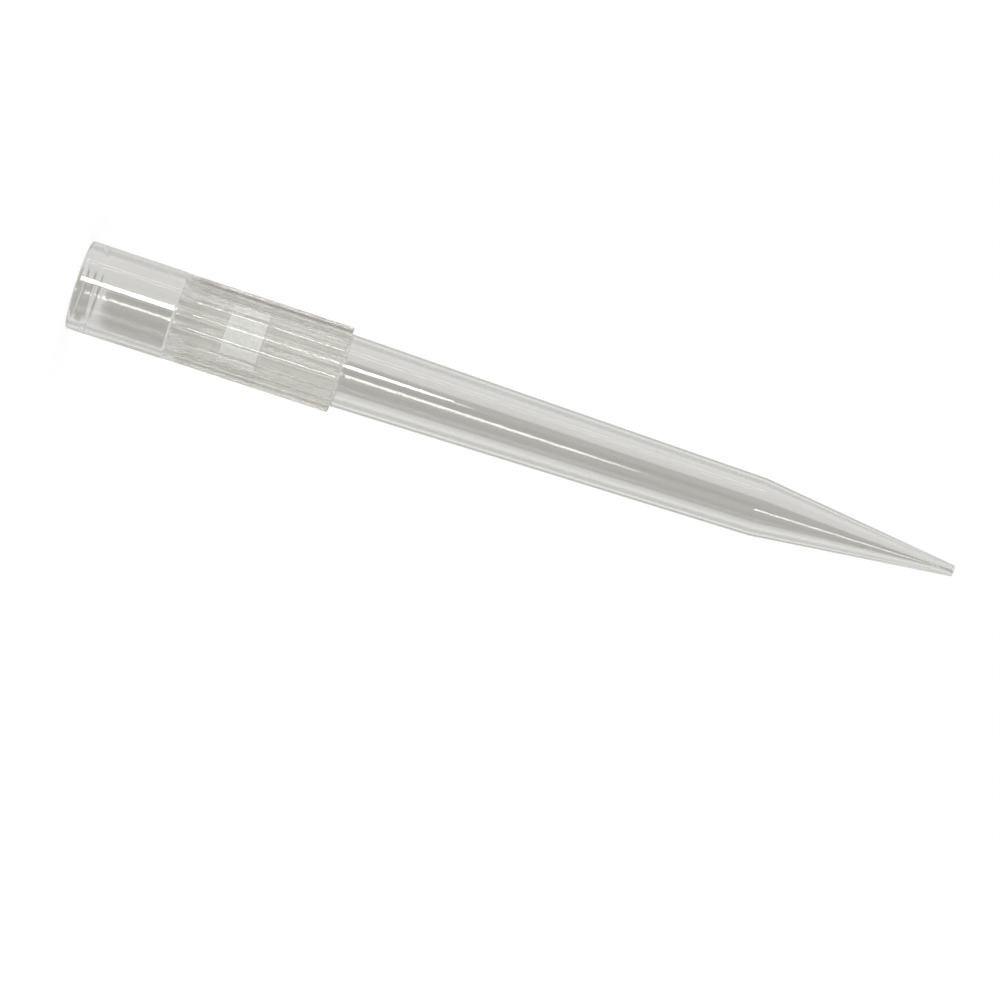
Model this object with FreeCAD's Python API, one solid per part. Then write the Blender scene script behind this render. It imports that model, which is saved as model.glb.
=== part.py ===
import FreeCAD, Part
import math
import os

# Filter pipette tip of the 1 ml class, standing on its mouth with the point up. Millimetres.
# Its axis is the vertical Z axis, from the mouth (0), which rests on the floor, up to the outlet.

# --- lengths along the axis, each measured from the end of the one before it ---
collar_length = 9.93  # smooth collar, from the mouth to the start of the ribs
rib_length = 16.8  # ribbed length, down to the shoulder that rests in a rack
barrel_length = 43.0  # slowly tapering barrel
point_length = 20.27  # steep lower cone, down to the outlet

# --- outside diameters ---
mouth_diameter = 8.9  # fits the 9 mm pitch of racks and multichannel pipettes
crest_end_diameter = 8.66  # over the ribs, at their lower end
crest_step = 0.04  # the ribs start this much below the collar's surface
barrel_top_diameter = 7.38  # just below the ribs
kink_diameter = 5.9  # where the barrel turns into the lower cone
outlet_diameter = 1.14
rim_round = 0.18  # rounding of the mouth's outer edge

# --- ribs ---
rib_count = 20
groove_width = 0.66  # gap between two ribs
groove_depth = 0.42
groove_ramp = 1.5  # length over which each groove runs out at its upper end

# --- inside ---
socket_diameter = 7.5  # cylindrical socket for the nose of a pipette
lead_in_length = 0.25
lead_in_rise = 0.1  # the mouth is wider than the socket by this much on each side
seal_offset = 1.2  # from the lead-in to the seal ring
seal_width = 0.55
seal_height = 0.09
socket_length = 9.75  # depth at which the pipette's nose stops
stop_length = 3.0  # length of the slope from the socket down to the filter's bore
filter_diameter = 6.2
filter_length = 3.77
filter_depth = 15.05  # from the mouth to the filter's upper face
filter_seat = 0.12  # ledge under the filter
barrel_wall = 0.74  # wall just below the ribs
kink_wall = 0.64
outlet_bore = 0.7
outlet_land = 1.5  # short straight bore at the outlet

# --- stations and radii that follow from the sizes above ---
rib_start = collar_length
rib_end = rib_start + rib_length
kink_at = rib_end + barrel_length
total_length = kink_at + point_length
mouth_radius = mouth_diameter / 2
crest_end_radius = crest_end_diameter / 2
crest_start_radius = mouth_radius + (crest_end_radius - mouth_radius) * rib_start / rib_end - crest_step
socket_radius = socket_diameter / 2
filter_radius = filter_diameter / 2
seal_start = lead_in_length + seal_offset
seat_at = filter_depth + filter_length


def point(at, radius):
    """A point of the lengthwise section, at this height above the mouth and distance from the axis."""
    return FreeCAD.Vector(radius, 0, at)


def arc(first, middle, last):
    return Part.Arc(first, middle, last).toShape()


def line(first, last):
    return Part.makeLine(first, last)


def chain(points):
    """Straight edges through these points, in order."""
    return [line(first, last) for first, last in zip(points, points[1:])]


def revolve(edges):
    face = Part.Face(Part.Wire(edges))
    return face.revolve(FreeCAD.Vector(0, 0, 0), FreeCAD.Vector(0, 0, 1), 360)


def outer_edges():
    """Outside of the tip, from the flat of the mouth's rim to the outlet's end face."""
    slant = rim_round * (1 - math.sqrt(0.5))
    rim_low = point(0, mouth_radius - rim_round)
    rim_high = point(rim_round, mouth_radius)
    corner = arc(rim_low, point(slant, mouth_radius - slant), rim_high)
    return [corner] + chain([
        rim_high,
        point(rib_start, crest_start_radius + crest_step),
        point(rib_start + crest_step, crest_start_radius),
        point(rib_end, crest_end_radius),
        point(rib_end, barrel_top_diameter / 2),
        point(kink_at, kink_diameter / 2),
        point(total_length, outlet_diameter / 2),
        point(total_length, outlet_bore / 2),
    ])


def inner_edges():
    """Bore of the tip, from the outlet back to the flat of the mouth's rim."""
    seal_low = point(seal_start, socket_radius)
    seal_top = point(seal_start + seal_width / 2, socket_radius - seal_height)
    seal_high = point(seal_start + seal_width, socket_radius)
    liquid_bore = chain([
        point(total_length, outlet_bore / 2),
        point(total_length - outlet_land, outlet_bore / 2),
        point(kink_at, kink_diameter / 2 - kink_wall),
        point(rib_end, barrel_top_diameter / 2 - barrel_wall),
        point(seat_at, filter_radius - filter_seat),
        point(seat_at, filter_radius),
        point(socket_length + stop_length, filter_radius),
        point(socket_length, socket_radius),
        seal_high,
    ])
    seal_ring = arc(seal_high, seal_top, seal_low)
    mouth = chain([
        seal_low,
        point(lead_in_length, socket_radius),
        point(0, socket_radius + lead_in_rise),
        point(0, mouth_radius - rim_round),
    ])
    return liquid_bore + [seal_ring] + mouth


def groove():
    """Cutter for the gap between two ribs, at the front (-Y), running out at the end by the collar."""
    start_radius = crest_start_radius - groove_depth
    end_radius = crest_end_radius - groove_depth
    beyond = groove_depth  # how far the cutter stands clear of the ribs
    slope = groove_ramp / groove_depth
    floor_slope = (end_radius - start_radius) / (rib_end - rib_start - groove_ramp)
    side = [
        (rib_start - beyond * slope, crest_start_radius + beyond),
        (rib_start + groove_ramp, start_radius),
        (rib_end + beyond, end_radius + floor_slope * beyond),
        (rib_end + beyond, crest_start_radius + beyond),
    ]
    corners = [FreeCAD.Vector(-groove_width / 2, -radius, at) for at, radius in side]
    face = Part.Face(Part.makePolygon(corners + corners[:1]))
    return face.extrude(FreeCAD.Vector(groove_width, 0, 0))


def make_tip_body():
    """The moulded tip: one clear part from the collar to the outlet."""
    body = revolve(outer_edges() + inner_edges())
    grooves = []
    for index in range(rib_count):
        cutter = groove()
        cutter.rotate(FreeCAD.Vector(0, 0, 0), FreeCAD.Vector(0, 0, 1), index * 360 / rib_count)
        grooves.append(cutter)
    return body.cut(grooves)


def make_filter_plug():
    """The porous plug, pressed into the bore and down onto its ledge."""
    start = FreeCAD.Vector(0, 0, filter_depth)
    return Part.makeCylinder(filter_radius, filter_length, start)


os.makedirs("parts", exist_ok=True)
for name, shape in (("tip_body", make_tip_body()), ("filter_plug", make_filter_plug())):
    shape.exportStep(f"parts/{name}.step")
    print(name, shape.isValid(), len(shape.Solids), round(shape.Volume, 3), shape.BoundBox)
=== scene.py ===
import math

import bmesh
import bpy
from mathutils import Matrix, Vector


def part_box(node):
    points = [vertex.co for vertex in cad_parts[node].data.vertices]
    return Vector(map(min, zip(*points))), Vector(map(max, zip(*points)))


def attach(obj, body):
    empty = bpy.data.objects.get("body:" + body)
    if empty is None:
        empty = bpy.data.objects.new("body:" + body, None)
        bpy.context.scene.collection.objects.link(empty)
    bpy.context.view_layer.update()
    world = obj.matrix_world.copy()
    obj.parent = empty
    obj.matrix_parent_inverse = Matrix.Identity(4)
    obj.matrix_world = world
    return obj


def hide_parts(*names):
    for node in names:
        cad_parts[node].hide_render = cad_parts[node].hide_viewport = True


# A clear filter pipette tip that stands on its mouth on a pale floor, with its point up. Sizes are
# millimetres: heights above the mouth, and radii from the tip's axis. A finished piece is in metres.
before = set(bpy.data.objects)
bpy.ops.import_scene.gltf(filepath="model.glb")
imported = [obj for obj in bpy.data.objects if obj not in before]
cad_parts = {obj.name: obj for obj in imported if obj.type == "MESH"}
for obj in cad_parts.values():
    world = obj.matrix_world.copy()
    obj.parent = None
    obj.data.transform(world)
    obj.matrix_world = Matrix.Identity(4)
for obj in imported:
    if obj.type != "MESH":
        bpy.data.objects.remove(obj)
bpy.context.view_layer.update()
MM = 0.001

# ---------------------------------------------------------------- where the tip stands
body_low, body_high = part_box("tip_body")
mouth = Vector(((body_low.x + body_high.x) / 2, (body_low.y + body_high.y) / 2, body_low.z))
tip_place = Matrix.Translation(mouth) @ Matrix.Scale(MM, 4)

# ---------------------------------------------------------------- sizes of the tip
rib_start, rib_end, kink_at, outlet_at = 9.93, 26.73, 69.73, 90.0
mouth_radius, crest_end_radius, crest_step = 4.45, 4.33, 0.04
barrel_top_radius, kink_radius, outlet_radius = 3.69, 2.95, 0.57
crest_start_radius = mouth_radius + (crest_end_radius - mouth_radius) * rib_start / rib_end - crest_step
crest_slope = (crest_end_radius - crest_start_radius) / (rib_end - rib_start)
crest_edge = 0.05  # how far the soft edge at both ends of the ribs falls below their tops

rib_count = 20
steps_per_rib = 24  # points of the turned mesh for one rib and its gap
gap_depth, gap_run_in = 0.42, 1.5
gap_floor_half, gap_top_half = 0.29, 0.345  # half the flat floor, and half the width between two ribs' tops

outlet_bore_radius, outlet_land = 0.35, 1.5
kink_bore_radius, barrel_bore_radius = 2.31, 2.95
plug_at, plug_length, plug_radius, plug_ledge = 15.05, 3.77, 3.1, 0.12
seat_at = plug_at + plug_length
stop_start, stop_end = 9.75, 12.75  # the slope between the socket and the plug's bore
socket_radius = 3.75
seal_start, seal_top_start, seal_top_end, seal_end, seal_rise = 1.45, 1.65, 1.8, 2.0, 0.055
lead_in_length, lead_in_rise = 0.25, 0.1

# ---------------------------------------------------------------- finish, room and light
crest_dullness, rib_dullness = 0.16, 0.03  # added roughness, on the ribs' tops and all over the ribs
smoked = (0.8, 0.8, 0.79, 1)  # what the plastic's haze scatters, and what passes straight through its wall
white = (1, 1, 1, 1)
floor_glow = 0.25  # the camera sees the floor this much lighter than the lamps make it
room_light = 0.9  # the even light that the room gives to what is dull
inner_light = 1.95  # the same for what lies inside the clear plastic, whose wall takes part of it
wall_tones = (  # degrees from the middle of one of the room's four walls, and how light the wall is there
    (-45, 0.55), (-37, 0.62), (-27, 0.86), (-16, 0.78), (-8, 0.71), (6, 0.67), (11, 0.65), (18, 0.86),
    (28, 0.90), (36, 0.62), (45, 0.55),
)
painted_shadow_tone = (0.425, 0.414, 0.386, 1)  # painted shadow: the darker strip in each wall's middle, for the tip's own shadow seen through it
window_radiance, side_radiance = 26.0, 5.0
lamp_drop = 68  # the lamps are this far below the mouth


# ---------------------------------------------------------------- materials
class Wire:
    """A shader socket that takes part in Python arithmetic."""

    def __init__(self, paint, socket):
        self.paint, self.socket = paint, socket

    def __add__(self, other): return self.paint.maths("ADD", self, other)
    def __radd__(self, other): return self.paint.maths("ADD", other, self)
    def __sub__(self, other): return self.paint.maths("SUBTRACT", self, other)
    def __rsub__(self, other): return self.paint.maths("SUBTRACT", other, self)
    def __mul__(self, other): return self.paint.maths("MULTIPLY", self, other)
    def __rmul__(self, other): return self.paint.maths("MULTIPLY", other, self)
    def __truediv__(self, other): return self.paint.maths("DIVIDE", self, other)
    def __rtruediv__(self, other): return self.paint.maths("DIVIDE", other, self)


class Paint:
    """The nodes of one material, or of the owner that is given: the room or a lamp."""

    def __init__(self, name, owner=None):
        self.owner = owner or bpy.data.materials.new(name)
        self.owner.use_nodes = True
        self.tree = self.owner.node_tree
        self.tree.nodes.clear()
        self.where = None if owner else self.node("ShaderNodeTexCoord", {}, out="Object")

    def node(self, kind, settings, *values, out=0, **named):
        """A node with its settings, a ramp's stops among them, and then its sockets' values or links."""
        made = self.tree.nodes.new(kind)
        for key, value in settings.items():
            if key == "stops":
                for index, (at, shade) in enumerate(value):
                    elements = made.color_ramp.elements
                    element = elements[index] if index < 2 else elements.new(at)
                    element.position, element.color = at, (*shade, 1)
            else:
                setattr(made, key, value)
        for key, value in list(enumerate(values)) + [(k.replace("_", " "), v) for k, v in named.items()]:
            if isinstance(value, Wire):
                self.tree.links.new(value.socket, made.inputs[key])
            elif value is not None:
                made.inputs[key].default_value = value
        return None if out is None else Wire(self, made.outputs[out])

    def maths(self, operation, *values):
        return self.node("ShaderNodeMath", {"operation": operation}, *values)

    def vector_maths(self, operation, *values, out=0):
        return self.node("ShaderNodeVectorMath", {"operation": operation}, *values, out=out)

    def fade(self, value, start, end, low, high):
        """Turns smoothly from low to high while the value goes from start to end."""
        smooth = {"interpolation_type": "SMOOTHSTEP"}
        return self.node("ShaderNodeMapRange", smooth, value, start, end, low, high)

    def blend(self, share, first, second):
        unused = (None,) * 5  # the Mix node's sockets for numbers and vectors come before its colours
        return self.node("ShaderNodeMix", {"data_type": "RGBA"}, share, *unused, first, second, out=2)

    def mixed(self, share, first, second):
        return self.node("ShaderNodeMixShader", {}, share, first, second)

    def noise(self, scale, detail, where=None):
        return self.node("ShaderNodeTexNoise", {}, Vector=where or self.where, Scale=scale, Detail=detail)

    def ramp(self, value, *stops):
        return self.node("ShaderNodeValToRGB", {"stops": stops}, value)

    def ray(self, kind):
        return self.node("ShaderNodeLightPath", {}, out=kind)

    def scattered(self):
        """1 for light that a dull surface has already thrown on, and 0 before."""
        return self.maths("MINIMUM", self.ray("Diffuse Depth"), 1.0)

    def surface(self, shader):
        self.node("ShaderNodeOutputMaterial", {}, shader, out=None)
        return self.owner


def clear_polypropylene():
    """Clear moulded plastic, slightly warm and a little hazy, with duller ribs. The ribs are also tinted
    darker, most where they face the camera: painted shade, for the darker look of what is seen through them.
    """
    paint = Paint("clear_polypropylene")
    flow = paint.node("ShaderNodeMapping", {}, paint.where, Scale=(1.0, 1.0, 0.16))
    waves = paint.noise(420.0, 1.0, flow)
    grain = paint.noise(5200.0, 3.0)
    cloud = paint.noise(90.0, 2.0)

    at = paint.node("ShaderNodeSeparateXYZ", {}, paint.where, out="Z") * 1000
    flattened = paint.vector_maths("MULTIPLY", paint.where, (1000, 1000, 0))
    out_by = paint.vector_maths("LENGTH", flattened, out="Value")
    ribbed = paint.fade(at, rib_start, rib_start + 0.4, 0, 1) \
        * paint.fade(at, rib_end - 0.02, rib_end + 0.02, 1, 0) \
        * paint.fade(out_by, barrel_top_radius - 0.03, barrel_top_radius + 0.03, 0, 1)
    crest = ribbed * paint.fade(out_by, crest_end_radius - 0.23, crest_end_radius - 0.08, 0, 1)
    normal = paint.node("ShaderNodeBump", {}, Strength=0.05, Distance=0.0002,
                        Height=(waves * 0.06 + grain * 0.03) * (1 - ribbed * 0.9))

    tint = paint.ramp(cloud, (0.3, (0.93, 0.928, 0.918)), (0.7, (0.945, 0.943, 0.934)))
    facing = paint.node("ShaderNodeLayerWeight", {}, 0.5, out="Facing")
    edge = paint.fade(facing, 0.52, 0.95, 0, 1) * (1 - ribbed * 0.6)
    tint = paint.blend(edge, tint, (0.50, 0.49, 0.46, 1))
    # Painted shade: the ribs are tinted darker, most where they face the camera, for the darker look of what
    # is seen through them.
    painted_rib_shade = paint.vector_maths("MULTIPLY", tint, (0.868, 0.86, 0.83))
    tint = paint.blend(ribbed * paint.fade(facing, 0.35, 0.8, 1, 0.1), tint, painted_rib_shade)
    dullness = 0.018 + grain * 0.012 + ribbed * rib_dullness + crest * crest_dullness

    clear = paint.node("ShaderNodeBsdfPrincipled", {}, Base_Color=tint, Roughness=dullness,
                       IOR=1.49, Transmission_Weight=1.0, Normal=normal)
    haze = paint.node("ShaderNodeBsdfTranslucent", {}, Color=smoked, Normal=normal)
    hazy = paint.mixed(0.010 + waves * 0.015 + ribbed * 0.01, clear, haze)
    # Light that has turned many times inside the wall is let out, and shadows are light.
    turns = paint.maths("MAXIMUM", paint.ray("Ray Depth") * 0.3, paint.ray("Glossy Depth"))
    passes = paint.maths("MAXIMUM", paint.ray("Is Shadow Ray"), paint.maths("GREATER_THAN", turns, 2.6))
    through = paint.node("ShaderNodeBsdfTransparent", {}, Color=smoked)
    return paint.surface(paint.mixed(passes, hazy, through))


def porous_polyethylene():
    """White sintered plastic: fine grains with small pores between them."""
    paint = Paint("porous_polyethylene")
    grains = paint.node("ShaderNodeTexVoronoi", {"feature": "F1"}, out="Distance",
                        Vector=paint.where, Scale=3600.0)
    patches = paint.noise(900.0, 3.0)
    mottle = grains * 0.8 + patches * 0.3
    tint = paint.ramp(mottle, (0.15, (0.775, 0.78, 0.785)), (0.75, (0.68, 0.685, 0.685)))
    normal = paint.node("ShaderNodeBump", {}, Strength=0.5, Distance=0.0001, Height=1.0 - grains)
    return paint.surface(paint.node("ShaderNodeBsdfPrincipled", {}, Base_Color=tint,
                                    Roughness=0.75 + patches * 0.15, IOR=1.5, Normal=normal))


# ---------------------------------------------------------------- turned shapes
def steadied(sections, near=0.35, long_from=1.2):
    """Adds a point near both ends of every long straight, so that the shading of a corner stays near it."""
    steady = []
    for first, second in zip(sections, sections[1:] + sections[:1]):
        steady.append(first)
        reach = math.dist(first[:2], second[:2])
        if reach > long_from:
            for share in (near / reach, 1 - near / reach):
                at, radius = (start + (end - start) * share for start, end in zip(first[:2], second[:2]))
                steady.append((at, radius, 0))
    return steady


def turned(sections, steps):
    """A bmesh spun round the tip's axis from a closed line of (height, radius, rounding) corners."""
    sections = steadied(sections)
    shape = bmesh.new()
    corners = [shape.verts.new((0, -radius, at)) for at, radius, _ in sections]
    for first, second in zip(corners, corners[1:] + corners[:1]):
        shape.edges.new((first, second))
    for corner, (_, _, rounding) in zip(corners, sections):
        if rounding:
            bmesh.ops.bevel(shape, geom=[corner], offset=rounding, segments=5, profile=0.5,
                            affect="VERTICES", material=-1)
    bmesh.ops.spin(shape, geom=shape.verts[:] + shape.edges[:], cent=(0, 0, 0), axis=(0, 0, 1),
                   angle=2 * math.pi, steps=steps, use_merge=True)
    bmesh.ops.remove_doubles(shape, verts=shape.verts[:], dist=1e-4)
    bmesh.ops.recalc_face_normals(shape, faces=shape.faces[:])
    return shape


def finished(shape, name, material, sharp_from=30):
    """The bmesh as a smooth-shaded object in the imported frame, with its true corners kept sharp."""
    for face in shape.faces:
        face.smooth = True
    for edge in shape.edges:
        edge.smooth = len(edge.link_faces) != 2 or edge.calc_face_angle(0) < math.radians(sharp_from)
    bmesh.ops.transform(shape, matrix=tip_place, verts=shape.verts[:])
    mesh = bpy.data.meshes.new(name)
    shape.to_mesh(mesh)
    shape.free()
    mesh.materials.append(material)
    piece = bpy.data.objects.new(name, mesh)
    bpy.context.scene.collection.objects.link(piece)
    return piece


def gap_section(flank_steps=8):
    """Half of a gap, from its middle to the rounded shoulder of the rib beside it: how far sideways each
    point lies, and its share of the gap's depth."""
    rows = [(0.0, 1.0), (gap_floor_half, 1.0)]
    for step in range(1, flank_steps + 1):
        share = step / flank_steps
        sideways = gap_floor_half + (gap_top_half - gap_floor_half) * share
        rows.append((sideways, 0.5 + 0.5 * math.cos(math.pi * share)))
    return rows


def cut_gaps(shape, outside_from=4.15):
    """Moves the outside's points to the ribs' section. The gaps run out by the collar."""
    rows = gap_section()
    pitch = 2 * math.pi / rib_count
    step = pitch / steps_per_rib
    crest_steps = steps_per_rib // 2 - len(rows) + 1
    for vert in shape.verts:
        at, radius = vert.co.z, math.hypot(vert.co.x, vert.co.y)
        if radius < outside_from or not rib_start - 0.5 < at < rib_end + 0.01:
            continue
        turn = math.atan2(vert.co.x, -vert.co.y)  # from the front, where a gap lies
        count = round(turn / step)
        gap = round(count / steps_per_rib)
        index = count - gap * steps_per_rib
        side = 1 if index >= 0 else -1
        index = abs(index)
        if index < len(rows):
            sideways, share = rows[index]
            angle = math.asin(sideways / radius)
        else:
            shoulder = math.asin(gap_top_half / radius)
            angle = shoulder + (pitch / 2 - shoulder) * (index - len(rows) + 1) / crest_steps
            share = 0.0
        run = min(1.0, max(0.0, (at - rib_start) / gap_run_in))
        new_radius = radius - gap_depth * share * run
        new_turn = gap * pitch + side * angle
        vert.co = Vector((new_radius * math.sin(new_turn), -new_radius * math.cos(new_turn), at))


def tip_body(run_in_steps=6):
    run_in = [gap_run_in * step / run_in_steps for step in range(1, run_in_steps + 1)]
    sections = [
        (0, mouth_radius, 0.18),
        (rib_start - 0.16, crest_start_radius + crest_step, 0.06),
        (rib_start, crest_start_radius - crest_edge, 0),
        (rib_start + 0.10, crest_start_radius, 0.04),
        *((rib_start + past, crest_start_radius + crest_slope * past, 0) for past in run_in),
        (rib_end - 0.06, crest_end_radius, 0),
        (rib_end, crest_end_radius - crest_edge, 0),
        (rib_end, barrel_top_radius, 0.12),
        (kink_at, kink_radius, 0.05),
        (outlet_at, outlet_radius, 0.06),
        (outlet_at, outlet_bore_radius, 0.04),
        (outlet_at - outlet_land, outlet_bore_radius, 0.2),
        (kink_at, kink_bore_radius, 0.05),
        (rib_end, barrel_bore_radius, 0.3),
        (seat_at, plug_radius - plug_ledge, 0.03),
        (seat_at, plug_radius, 0.03),
        (stop_end, plug_radius, 0.3),
        (stop_start, socket_radius, 0.2),
        (seal_end, socket_radius, 0.1),
        (seal_top_end, socket_radius - seal_rise, 0.1),
        (seal_top_start, socket_radius - seal_rise, 0.07),
        (seal_start, socket_radius, 0.1),
        (lead_in_length, socket_radius, 0.06),
        (0, socket_radius + lead_in_rise, 0.05),
    ]
    shape = turned(sections, rib_count * steps_per_rib)
    cut_gaps(shape)
    return finished(shape, "moulded_tip", clear_polypropylene())


def filter_plug(play=0.01):
    low, high, radius = plug_at + play, seat_at - play, plug_radius - play
    shape = turned([(low, radius, 0.08), (high, radius, 0.08), (high, 0.0, 0), (low, 0.0, 0)], 180)
    return finished(shape, "porous_plug", porous_polyethylene())


body = tip_body()
plug = filter_plug()
for piece, node, finish in (
    (body, "tip_body", "clear_polypropylene"),
    (plug, "filter_plug", "porous_polyethylene"),
):
    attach(piece, "root")
    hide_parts(node)

# ---------------------------------------------------------------- floor, room, light and camera
# Three ways: along the tip from the mouth to the point, toward the camera, and beside the tip.
along = Vector((0, 0, 1))
swing_round = math.radians(8.5)  # the camera stands this far round the tip from its front
toward = Vector((math.sin(swing_round), -math.cos(swing_round), 0))
beside = along.cross(toward)


def in_tip(up_tip, sideways, to_camera):
    return along * up_tip + beside * sideways + toward * to_camera


def swung(degrees):
    """The way from the tip that turns this far round it from the camera."""
    return in_tip(0, -math.sin(math.radians(degrees)), math.cos(math.radians(degrees)))


def pale_floor():
    """A dull pale floor that looks white and keeps the tip's shadow. Clear and shiny surfaces see past it."""
    mesh = bpy.data.meshes.new("floor")
    shape = bmesh.new()
    bmesh.ops.create_grid(shape, x_segments=1, y_segments=1, size=1.5)
    shape.to_mesh(mesh)
    shape.free()
    floor = bpy.data.objects.new("floor", mesh)
    bpy.context.scene.collection.objects.link(floor)
    paint = Paint("pale_floor")
    speckle = paint.ramp(paint.noise(40.0, 3.0), (0.3, (0.84, 0.84, 0.84)), (0.7, (0.86, 0.86, 0.86)))
    matte = paint.node("ShaderNodeBsdfDiffuse", {}, Color=speckle)
    glow = paint.node("ShaderNodeEmission", {}, Color=white, Strength=paint.ray("Is Camera Ray") * floor_glow)
    seen = paint.node("ShaderNodeAddShader", {}, matte, glow)
    clear = paint.node("ShaderNodeBsdfTransparent", {}, Color=white)
    mirrored = paint.maths("MAXIMUM", paint.ray("Is Glossy Ray"), paint.ray("Is Transmission Ray"))
    lets_by = paint.maths("MAXIMUM", paint.ray("Is Shadow Ray"), mirrored)
    mesh.materials.append(paint.surface(paint.mixed(lets_by, seen, clear)))


def room():
    """White behind the tip, and even for the soft light it gives. What clear and shiny surfaces show are four
    grey walls round the tip, all alike, with light bands and one darker strip in the middle of each. The
    strip
    is a painted shadow: it stands for the tip's own shadow on what lies under it, seen through its clear
    plastic."""
    world = bpy.data.worlds.new("studio")
    bpy.context.scene.world = world
    paint = Paint("room", world)
    way = paint.node("ShaderNodeTexCoord", {}, out="Generated")

    def share_of(fixed):
        return paint.vector_maths("DOT_PRODUCT", way, tuple(fixed), out="Value")

    degrees = 180 / math.pi
    across = paint.maths("ARCTAN2", share_of(beside), share_of(-toward)) * degrees
    rise = paint.maths("ARCSINE", share_of(along)) * degrees
    across = across - paint.fade(rise, -4, -1.5, 2.6, 0)
    within = paint.maths("FRACT", (across + 45) / 90)
    tones = ((0.5 + turn / 90, (level, level * 0.995, level * 0.975)) for turn, level in wall_tones)
    wall = paint.ramp(within, *tones)
    broader = paint.fade(rise, -4.2, -3.7, 8.5, 0)  # the strip is broader low down
    from_middle = within * 90 - 45
    # The painted shadow: a darker strip in the middle of each wall, for the tip's own shadow seen through its
    # clear plastic.
    strip = paint.fade(from_middle, -3.8, -2.6, 0, 1) \
        * paint.fade(from_middle - broader, 8.2, 9.8, 1, 0) \
        * paint.fade(rise, -5.68, -5.58, 0, 1) \
        * paint.fade(rise, 12.5, 14, 1, 0)
    wall = paint.blend(strip, wall, painted_shadow_tone)
    wall = paint.blend(paint.scattered(), wall, (inner_light, inner_light, inner_light, 1))
    mirrored = paint.maths("MAXIMUM", paint.ray("Is Glossy Ray"), paint.ray("Is Transmission Ray"))
    shown = paint.blend(mirrored, (room_light, room_light, room_light, 1), wall)
    shown = paint.blend(paint.ray("Is Camera Ray"), shown, white)
    paint.node("ShaderNodeOutputWorld", {}, paint.node("ShaderNodeBackground", {}, shown, 1.0), out=None)


def lamp(name, way, distance, width, height, radiance, lean=0.0, shape="RECTANGLE"):
    """A flat lamp beside the tip, turned to its axis. Light that a dull surface has thrown on doesn't find
    it, so the plug is lit by it only once through the clear wall. Sizes and distance are metres."""
    data = bpy.data.lights.new(name, "AREA")
    data.shape, data.size, data.size_y = shape, width, height
    paint = Paint(name, data)
    glow = paint.node("ShaderNodeEmission", {}, white, 1 - paint.scattered())
    paint.node("ShaderNodeOutputLight", {}, glow, out=None)
    data.energy = radiance * math.pi * width * height * (math.pi / 4 if shape == "ELLIPSE" else 1)
    made = bpy.data.objects.new(name, data)
    bpy.context.scene.collection.objects.link(made)
    back = way.normalized()
    side = (along - back * along.dot(back)).normalized()
    up = back.cross(side)
    side, up = side * math.cos(lean) + up * math.sin(lean), up * math.cos(lean) - side * math.sin(lean)
    place = mouth - along * lamp_drop * MM + way * distance
    made.matrix_world = Matrix((
        (side.x, up.x, back.x, place.x),
        (side.y, up.y, back.y, place.y),
        (side.z, up.z, back.z, place.z),
        (0, 0, 0, 1),
    ))


def camera():
    """The camera is rolled, so that the standing tip runs across the picture."""
    data = bpy.data.cameras.new("camera")
    data.lens, data.sensor_width = 124.865, 36
    data.clip_start, data.clip_end = 0.01, 10
    made = bpy.data.objects.new("camera", data)
    bpy.context.scene.collection.objects.link(made)
    bpy.context.scene.camera = made
    right = in_tip(0.94980892, -0.31189972, 0.02411588)
    down = in_tip(0.31115214, 0.94987643, 0.03031688)
    ahead = in_tip(0.03236293, 0.02129153, -0.99924937)
    spot = mouth + in_tip(34.5 * MM, 0, 339.406 * MM)
    made.matrix_world = Matrix((
        (right.x, -down.x, -ahead.x, spot.x),
        (right.y, -down.y, -ahead.y, spot.y),
        (right.z, -down.z, -ahead.z, spot.z),
        (0, 0, 0, 1),
    ))


pale_floor()
room()
lamp("window", swung(16.6), 2.0, 0.40, 0.36, window_radiance, math.radians(-17), "ELLIPSE")
lamp("strip", swung(70), 0.55, 0.5, 0.02, side_radiance)
camera()

bpy.context.scene.view_settings.view_transform = "Standard"
